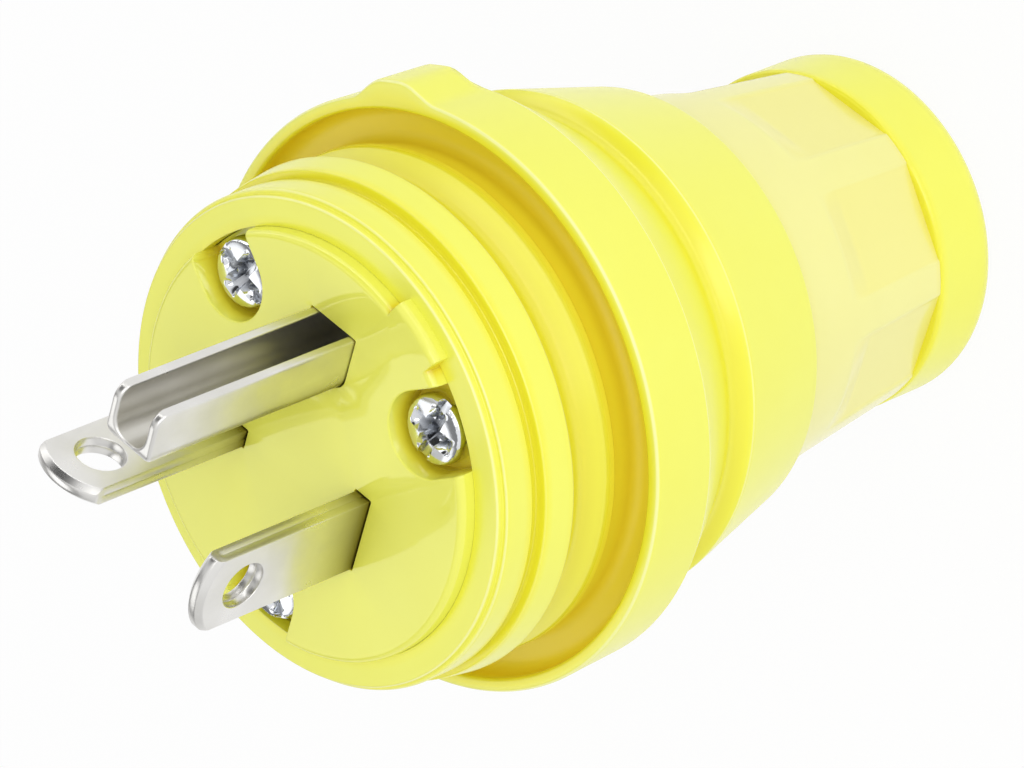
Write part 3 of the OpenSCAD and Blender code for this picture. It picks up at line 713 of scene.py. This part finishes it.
# The blades and the pin get painted shade where they leave the plate, and the pin also in its
# channel, so their hollows are found here.
for blade in (line_blade, neutral_blade):
    store_shares(blade, "hollow", find_hollows(blade, [(face_plate, blade_reach_in)]))
pin_around = [(ground_pin, channel_reach_in), (face_plate, blade_reach_in)]
store_shares(ground_pin, "hollow", find_hollows(ground_pin, pin_around))
stand_for(face_plate, "face_plate", plate_nylon)

# Face screws
# Three zinc plated pan-head screws with a combined slot and cross. They hold the face plate and
# the terminal block to the housing's bosses.
head_r = 2.7
head_h = 2.0
head_edge = 0.9
head_edge_steps = 12
head_edge_rings = 5
head_around = 90
head_sharp = 35
head_dome = 0.4
shank_r = 1.5
shank_around = 72
shank_seam = 0.005
shank_end = -12.0
slot_half = 0.38
slot_draft = 0.12
slot_floor = 1.2
cross_half = 0.30
cross_draft = 0.46
cross_floor = 0.5
cross_reach_low = 0.9
cross_reach_top = 2.1
slot_turns = (43, 20, 35)
head_step = 0.08
grid_in = 0.2
head_reach_in = 1.6

dome_r = (head_r ** 2 + head_dome ** 2) / (2 * head_dome)


def head_height(flat):
    """Top of a screw's head: a dome with a rounded edge, cut by a slot and a tapered cross."""
    radius = np.hypot(flat[:, 0], flat[:, 1])
    dome = head_h - dome_r + np.sqrt(dome_r ** 2 - np.minimum(radius, head_r) ** 2)
    edge = head_h - round_over(head_r - radius, head_edge)
    top = np.minimum(dome, edge)
    near, far = np.sort(np.abs(flat), axis=1).T
    off_slot = np.clip((np.abs(flat[:, 1]) - slot_half) / slot_draft, 0, 1)
    off_cross = np.clip((near - cross_half) / cross_draft, 0, 1)
    rise = np.clip((far - cross_reach_low) / (cross_reach_top - cross_reach_low), 0, 1)
    cross = cross_floor + (top - cross_floor) * rise
    ramp_slot = slot_floor + (top - slot_floor) * off_slot
    ramp_cross = cross + (top - cross) * off_cross
    return np.minimum(top, np.minimum(ramp_slot, ramp_cross))


def head_back(flat):
    """Underside of the head and the end of the shank."""
    return np.where(np.hypot(flat[:, 0], flat[:, 1]) < shank_r, shank_end, 0.0)


groove_edges = [0.0, cross_half, slot_half, slot_half + slot_draft, cross_half + cross_draft]
arm_run = int(round((cross_reach_top - cross_reach_low) / head_step))
head_lines = np.concatenate([
    groove_edges, np.linspace(cross_reach_low, cross_reach_top, arm_run + 1),
    np.arange(cross_reach_top + head_step, head_r, head_step)])
head_lines = np.concatenate([-head_lines[:0:-1], head_lines])
head_points = np.array([(x, y) for x in head_lines for y in head_lines])
head_points = head_points[np.hypot(head_points[:, 0], head_points[:, 1]) < head_r - grid_in]
head_turn, shank_turn = 360 / head_around, 360 / shank_around
head_outline = arc((0, 0), head_r, 0, 360 - head_turn, head_around)
head_rings = [arc((0, 0), head_r - depth, head_turn, 360, head_around)
              for depth in edge_depths(head_edge, head_edge_steps)[:head_edge_rings]]
shank_rings = [arc((0, 0), shank_r + off, shank_turn, 360, shank_around)
               for off in (-shank_seam, shank_seam)]
screw_shape, screw_faces = drape(
    [head_outline], [head_points] + head_rings + shank_rings, head_height, head_back)
for number, (angle, turn) in enumerate(zip(pocket_angles, slot_turns), 1):
    place = math.radians(angle)
    spin = math.radians(angle + turn)
    x, y, z = screw_shape.T
    screw = add_piece("face_screw_%d_pan" % number, np.column_stack([
        pocket_ring * math.cos(place) + x * math.cos(spin) - y * math.sin(spin),
        pocket_ring * math.sin(place) + x * math.sin(spin) + y * math.cos(spin),
        pocket_floor + z]), screw_faces, head_sharp)
    # The head's hollows paint shade into the zinc in its slot and cross.
    if number == 1:
        head_hollows = find_hollows(screw, [(screw, head_reach_in)])
    store_shares(screw, "hollow", head_hollows)
    stand_for(screw, "face_screw_%d" % number, zinc)

# Boot
# One moulding of soft yellow elastomer pulled over the housing: a ribbed nose that grips the face
# plate, a cupped sealing skirt with a key ridge, a narrow neck and a tapered tail ring.
ridge_turn = 117.6
ridge_height = 1.2
ridge_foot = 4.4
ridge_crest = 0.9
ridge_start_r = 22.3
ridge_start_z = 43.3
ridge_fade_r = 0.35
ridge_fade_z = 0.2
around_boot = 288
boot_step = 0.6
corner_room = 0.49
# Radius, height and rounding of each corner, from the nose out over the skirt and back inside.
boot_profile = [
    (16.46, 61.1, 0.08), (18.72, 61.1, 0.22), (18.72, 60.5, 0.12), (19.1, 60.5, 0.22),
    (19.1, 57.84, 0.3), (18.68, 57.62, 0.12), (18.68, 57.1, 0.12), (18.95, 57.0, 0.05),
    (19.55, 57.0, 0.2), (19.95, 54.35, 0.28), (19.25, 54.3, 0.35), (18.6, 53.2, 1.2),
    (18.6, 52.4, 1.2), (19.55, 50.75, 0.4), (19.65, 49.85, 0.22), (19.32, 49.62, 0.2),
    (19.1, 47.0, 0.8), (22.0, 47.0, 1.3), (22.0, 49.1, 0.3), (23.1, 49.1, 0.3),
    (22.9, 43.3, 0.25), (18.7, 36.55, 0.9), (19.9, 35.15, 0.25), (17.55, 25.35, 0.35),
    (14.2, 25.35, 0.1), (14.2, 38.4, 0.1), (16.65, 38.4, 0.1), (16.65, 59.9, 0.05),
    (16.46, 59.9, 0.05)]
boot_light = (0.91, 0.92, 0.115, 1)
boot_dark = (0.91, 0.91, 0.10, 1)
# Painted shade colours for the boot's hollows: richer yellow, olive, then gold and orange.
boot_hollows = [(0.08, (0.92, 0.88, 0.04, 1)), (0.18, (0.84, 0.78, 0.035, 1)),
                (0.34, (0.88, 0.74, 0.024, 1)), (0.65, (0.80, 0.48, 0.014, 1))]
boot_gloss = (0.23, 0.27)
boot_skin = 0.0007
# Painted highlight colour for the boot's rounded outer edges.
boot_highlight = (0.97, 0.97, 0.40, 1)
highlight_share = 0.3
highlight_clear = 0.1
boot_reach_in = 6.0
rim_reach_in = 0.6
lip_inner_r = 22.02
lip_share = 0.55
nose_low = 54.2
nose_share = 0.5
ramp_low = 49.7
ramp_inner_r = 18.0
ramp_share = 1.9


def rounded_profile(corners, steps=6):
    """Points of a closed section whose corners are rounded to the radius given with each."""
    points = []
    spots = [np.array(c[:2]) for c in corners]
    for i, corner in enumerate(corners):
        spot = spots[i]
        back = spots[i - 1] - spot
        ahead = spots[(i + 1) % len(spots)] - spot
        room = corner_room * min(np.hypot(*back), np.hypot(*ahead))
        back, ahead = back / np.hypot(*back), ahead / np.hypot(*ahead)
        half = math.acos(float(np.clip(back @ ahead, -1, 1))) / 2
        cut = min(corner[2] / math.tan(half), room)
        radius = cut * math.tan(half)
        centre = spot + (back + ahead) / np.hypot(*(back + ahead)) * radius / math.sin(half)
        first, last = spot + back * cut - centre, spot + ahead * cut - centre
        start = math.atan2(first[1], first[0])
        sweep = (math.atan2(last[1], last[0]) - start + math.pi) % (2 * math.pi) - math.pi
        for k in range(steps + 1):
            turn = start + sweep * k / steps
            points.append(centre + radius * np.array([math.cos(turn), math.sin(turn)]))
    return np.array(points)


def long_runs_split(points, longest):
    """A closed section's points with more added where they lie far apart."""
    out = []
    for start, end in zip(points, np.roll(points, -1, 0)):
        pieces = max(1, int(np.ceil(np.hypot(*(end - start)) / longest)))
        out += [start + (end - start) * k / pieces for k in range(pieces)]
    return np.array(out)


def lathe(section, count, reshape=None):
    """A closed section turned round the axis; reshape, if given, changes each point's radius."""
    turns = np.arange(count) * 2 * math.pi / count
    turn, radius = np.meshgrid(turns, section[:, 0], indexing="ij")
    height = np.meshgrid(turns, section[:, 1], indexing="ij")[1]
    if reshape is not None:
        radius = reshape(turn, radius, height)
    corners = np.stack([radius * np.cos(turn), radius * np.sin(turn), height], axis=-1)
    rows = len(section)
    faces = [(i * rows + j, i * rows + (j + 1) % rows,
              (i + 1) % count * rows + (j + 1) % rows, (i + 1) % count * rows + j)
             for i in range(count) for j in range(rows)]
    return corners.reshape(-1, 3), faces


def key_ridge(turn, radius, height):
    """Raises the skirt's outside along the key ridge."""
    off = (np.degrees(turn) - ridge_turn + 180) % 360 - 180
    along = np.abs(np.radians(off)) * radius
    rise = np.clip((ridge_foot - along) / (ridge_foot - ridge_crest), 0, 1)
    rise = rise * rise * (3 - 2 * rise)
    outside = (np.clip((radius - ridge_start_r) / ridge_fade_r, 0, 1)
               * np.clip((height - ridge_start_z) / ridge_fade_z, 0, 1))
    return radius + ridge_height * rise * outside


def outward_bend(section):
    """How tightly a section turns outwards at each point and beside it, per millimetre."""
    back = section - np.roll(section, 1, 0)
    ahead = np.roll(section, -1, 0) - section
    across = back[:, 1] * ahead[:, 0] - back[:, 0] * ahead[:, 1]
    turn = np.arctan2(across, (back * ahead).sum(axis=1))
    bend = 2 * np.maximum(turn, 0) / (np.hypot(*back.T) + np.hypot(*ahead.T))
    return np.minimum(bend, np.minimum(np.roll(bend, 1), np.roll(bend, -1)))


elastomer = moulded(
    "yellow_elastomer", boot_light, boot_dark, boot_hollows, boot_gloss, boot_skin, boot_highlight)
boot_section = long_runs_split(rounded_profile(boot_profile), boot_step)
boot = add_piece("boot_moulding", *lathe(boot_section, around_boot, key_ridge))
boot_r, boot_z = boot_section.T
# Painted shade counts less on the thin lip and the nose, and more on the ramp before the cup.
on_ramp = (boot_z > ramp_low) & (boot_r > ramp_inner_r)
shade_weight = np.select([boot_r > lip_inner_r, boot_z > nose_low, on_ramp],
                        [lip_share, nose_share, ramp_share], 1.0)
# The boot's own hollows, and those the face plate makes at the rim, paint shade into its colour.
boot_around = [(boot, boot_reach_in), (face_plate, rim_reach_in)]
boot_shares = find_hollows(boot, boot_around, boot_section, shade_weight)
store_shares(boot, "hollow", boot_shares)
# Painted highlights: the boot's rounded outer edges get the pale colour, less of it in hollows.
highlight_edges = np.clip(highlight_share * outward_bend(boot_section), 0, 1)
store_shares(boot, "edge", highlight_edges * np.clip(1 - boot_shares / highlight_clear, 0, 1))
stand_for(boot, "boot", elastomer)

# Cord grommet
# Bush of the boot's elastomer in the spigot's mouth. The gland nut pushes its flange through the
# slip washer and squeezes it on to the cord.
grommet_edge = 0.16

soften_edges(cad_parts["cord_grommet"], grommet_edge)
dress(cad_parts["cord_grommet"], elastomer)

# Gland nut
# Hard pale yellow nylon nut, round in front, with eight flats at the rear for a wrench. It is
# screwed on to the housing's spigot. Its wall is thinner at the flats, which get a little painted
# shade, standing in for the richer look of light through that wall.
nut_flats = 8
nut_rear_z = 6.8
nut_rear_r = 13.9
nut_front_z = 25.35
nut_front_r = 16.0
flats_z = 17.3
flat_rear_r = 13.3
flat_front_r = 14.5
flat_step = 0.12
flat_half = math.radians(16.4)
flat_side = math.radians(0.9)
flat_end = 2.4
flat_cut = 1.0
flat_shade = 0.08
around_nut = 384
nut_step = 0.3
nut_profile = [
    (12.55, nut_front_z, 0.1), (nut_front_r, nut_front_z, 0.4), (nut_rear_r, nut_rear_z, 0.1),
    (11.2, nut_rear_z, 0.1), (11.2, 2.8, 0.1), (8.0, 2.8, 0.1), (8.0, 9.7, 0.1), (11.4, 9.7, 0.1),
    (11.4, 14.7, 0.1), (12.55, 14.7, 0.1)]
nut_light = (0.92, 0.89, 0.33, 1)
nut_dark = (0.91, 0.875, 0.305, 1)
# Painted shade colours for the nut's hollows and its flats.
nut_hollows = [(0.16, (0.91, 0.84, 0.22, 1)), (0.50, (0.88, 0.72, 0.10, 1))]
nut_gloss = (0.16, 0.21)
nut_skin = 0.0006
nut_reach_in = 4.0


def wrench_flats(turn, radius, height):
    """Cuts the flats into the nut's outside, with a small step at their sides and front ends."""
    pitch = 2 * math.pi / nut_flats
    off = (turn + pitch / 2) % pitch - pitch / 2
    up = height - nut_rear_z
    flat_r = flat_rear_r + (flat_front_r - flat_rear_r) * (up / (flats_z - nut_rear_z))
    flat = flat_r / np.cos(off)
    cone = nut_rear_r + (nut_front_r - nut_rear_r) * up / (nut_front_z - nut_rear_z)
    depth = np.maximum(cone - flat, 0) + flat_step
    depth = depth * np.clip((flat_half - np.abs(off)) / flat_side + 0.5, 0, 1)
    depth = depth * np.clip((flats_z - height) / flat_end + 0.5, 0, 1)
    outside = (radius > cone - flat_cut) & (height >= nut_rear_z)
    return np.where(outside, np.minimum(radius, cone - depth), radius)


nut_nylon = moulded("nut_nylon", nut_light, nut_dark, nut_hollows, nut_gloss, nut_skin)
nut_section = long_runs_split(rounded_profile(nut_profile), nut_step)
nut_shape, nut_faces = lathe(nut_section, around_nut, wrench_flats)
gland_nut = add_piece("gland_nut_barrel", nut_shape, nut_faces)
# The nut's hollows, by its own shape and by the boot, paint shade into its colour.
nut_around = [(gland_nut, nut_reach_in), (boot, nut_reach_in)]
nut_shares = find_hollows(gland_nut, nut_around, nut_section)
# The flats add a little painted shade where they cut in.
cut_in = np.tile(nut_section[:, 0], around_nut) - np.hypot(nut_shape[:, 0], nut_shape[:, 1])
flat_painted_shade = flat_shade * np.clip(cut_in / flat_step, 0, 1)
store_shares(gland_nut, "hollow", np.tile(nut_shares, around_nut) + flat_painted_shade)
stand_for(gland_nut, "gland_nut", nut_nylon)

# End collar
# Ring of the boot's elastomer stretched over the nut's sleeve. It covers the nut's rear edge, and
# its flat end is the foot that the plug stands on.
around_collar = 192
collar_step = 0.8
collar_corner_steps = 10
collar_reach_in = 2.0
collar_profile = [
    (7.5, 0.0, 0.3), (14.0, 0.0, 1.9), (14.0, 6.8, 0.4), (11.3, 6.8, 0.1), (11.3, 2.8, 0.1),
    (7.5, 2.8, 0.1)]

collar_section = long_runs_split(
    rounded_profile(collar_profile, collar_corner_steps), collar_step)
end_collar = add_piece("end_collar_ring", *lathe(collar_section, around_collar))
# Hollows by the nut paint shade on the collar's front face.
collar_around = [(gland_nut, collar_reach_in)]
store_shares(end_collar, "hollow", find_hollows(end_collar, collar_around, collar_section))
stand_for(end_collar, "end_collar", elastomer)

# Floor
# Plain white surface that the plug stands on. What looks at it sees white, and it still darkens
# under the plug.
floor_size = 3.0
floor_white = (0.95, 0.95, 0.95, 1)
floor_rough = 0.9
floor_glow = 0.93
floor_z = -0.05

bpy.ops.mesh.primitive_plane_add(size=floor_size, location=(0, 0, floor_z * MM))
floor = bpy.context.object
floor.name = "floor"
paint, tree, shader, place = start_material("floor_white")
shader.inputs["Base Color"].default_value = floor_white
shader.inputs["Roughness"].default_value = floor_rough
shader.inputs["Specular IOR Level"].default_value = 0.0
light_path = tree.nodes.new("ShaderNodeLightPath")
glow = tree.nodes.new("ShaderNodeEmission")
reflected = worked(tree, "MAXIMUM", light_path.outputs["Is Glossy Ray"],
                   light_path.outputs["Is Transmission Ray"])
seen = worked(tree, "MAXIMUM", light_path.outputs["Is Camera Ray"], reflected)
blend = tree.nodes.new("ShaderNodeMixShader")
tree.links.new(worked(tree, "MULTIPLY", seen, floor_glow), blend.inputs[0])
tree.links.new(shader.outputs[0], blend.inputs[1])
tree.links.new(glow.outputs[0], blend.inputs[2])
tree.links.new(blend.outputs[0], tree.nodes["Material Output"].inputs["Surface"])
floor.data.materials.append(paint)

# Light
# White surroundings, brighter on the right. The face mirrors a bright panel in a dark frame. A dark
# card draws the edges of the metal, a bright low strip those of the rings, and one soft lamp stands
# on the ground pin's side.
bright_side = Vector((0.74, 0.32, 0.6)).normalized()
dim_level = 0.58
dim_until = -0.6
bright_level = 0.94
bright_from = 0.9
card_side = Vector((-0.48, 0.66, 0.58)).normalized()
card_inside = 0.955
card_outside = 0.90
card_level = 0.06
panel_side = Vector((-0.48, -0.58, 0.66)).normalized()
panel_edge = 0.93
panel_level = 2.0
frame_edge = 0.82
frame_level = 0.30
edge_blur = 0.012
strip_side = Vector((-0.2, 0.98, 0.0))
strip_low = 0.10
strip_high = 0.30
strip_fade = 0.4
strip_level = 2.2
surround_white = (1, 1, 1, 1)
lamp_side = Vector((0.45, 0.55, 0.7)).normalized()
lamp_distance = 0.9
lamp_size = 0.5
lamp_power = 1.2

scene = bpy.context.scene
scene.view_settings.view_transform = "Standard"
world = bpy.data.worlds.new("surround")
scene.world = world
world.use_nodes = True
tree = world.node_tree
direction = tree.nodes.new("ShaderNodeTexCoord").outputs["Generated"]


def towards(tree, direction, side):
    """How nearly a direction points to a side, from -1 to 1."""
    product = tree.nodes.new("ShaderNodeVectorMath")
    product.operation = "DOT_PRODUCT"
    product.inputs[1].default_value = side
    tree.links.new(direction, product.inputs[0])
    return product.outputs["Value"]


def edge_at(tree, value, edge, before, after):
    """One level before an edge and another after it, a little blurred between."""
    return between(tree, value, before, after, edge - edge_blur, edge + edge_blur)


wide = between(tree, towards(tree, direction, bright_side),
               dim_level, bright_level, dim_until, bright_from)
card = between(tree, towards(tree, direction, card_side), 1, card_level, card_outside, card_inside)
panel = towards(tree, direction, panel_side)
frame_in = edge_at(tree, panel, panel_edge, frame_level, panel_level)
frame_out = edge_at(tree, panel, frame_edge, 1, frame_level)
rise = towards(tree, direction, Vector((0, 0, 1)))
strip = worked(tree, "MINIMUM", edge_at(tree, rise, strip_low, 0, 1),
               edge_at(tree, rise, strip_high, 1, 0))
beside = between(tree, towards(tree, direction, strip_side), 0, 1, 0, strip_fade)
strip = worked(tree, "MINIMUM", strip, beside)
level = worked(tree, "MULTIPLY", worked(tree, "MULTIPLY", wide, card),
               worked(tree, "MAXIMUM", frame_in, frame_out))
level = worked(tree, "MAXIMUM", level, between(tree, strip, 0, strip_level, 0, 1))
tree.links.new(level, tree.nodes["Background"].inputs["Strength"])
tree.nodes["Background"].inputs["Color"].default_value = surround_white

middle = (cad_box[0] + cad_box[1]) / 2
lamp_data = bpy.data.lights.new("soft_lamp", "AREA")
lamp_data.shape = "DISK"
lamp_data.size = lamp_size
lamp_data.energy = lamp_power
lamp = bpy.data.objects.new("soft_lamp", lamp_data)
scene.collection.objects.link(lamp)
lamp.location = middle + lamp_side * lamp_distance
lamp.rotation_euler = (middle - lamp.location).to_track_quat("-Z", "Y").to_euler()

# Camera
# A long lens that looks at the face from between the ground pin and the line blade, rolled so that
# the plug lies aslant as in the photograph. Its place was fitted to the blades and the rings.
image_width = 1024
focal_pixels = 6000
sensor_width = 36.0
camera_place = Vector((216.06, 258.72, 338.61)) * MM
look_back = Vector((0.478, 0.5775, 0.662)).normalized()
roughly_up = Vector((-0.552, 0.784, -0.285))

camera_data = bpy.data.cameras.new("camera")
camera_data.sensor_width = sensor_width
camera_data.lens = sensor_width * focal_pixels / image_width
camera = bpy.data.objects.new("camera", camera_data)
scene.collection.objects.link(camera)
right = roughly_up.cross(look_back).normalized()
up = look_back.cross(right)
camera.matrix_world = (
    Matrix.Translation(camera_place) @ Matrix((right, up, look_back)).transposed().to_4x4())
scene.camera = camera
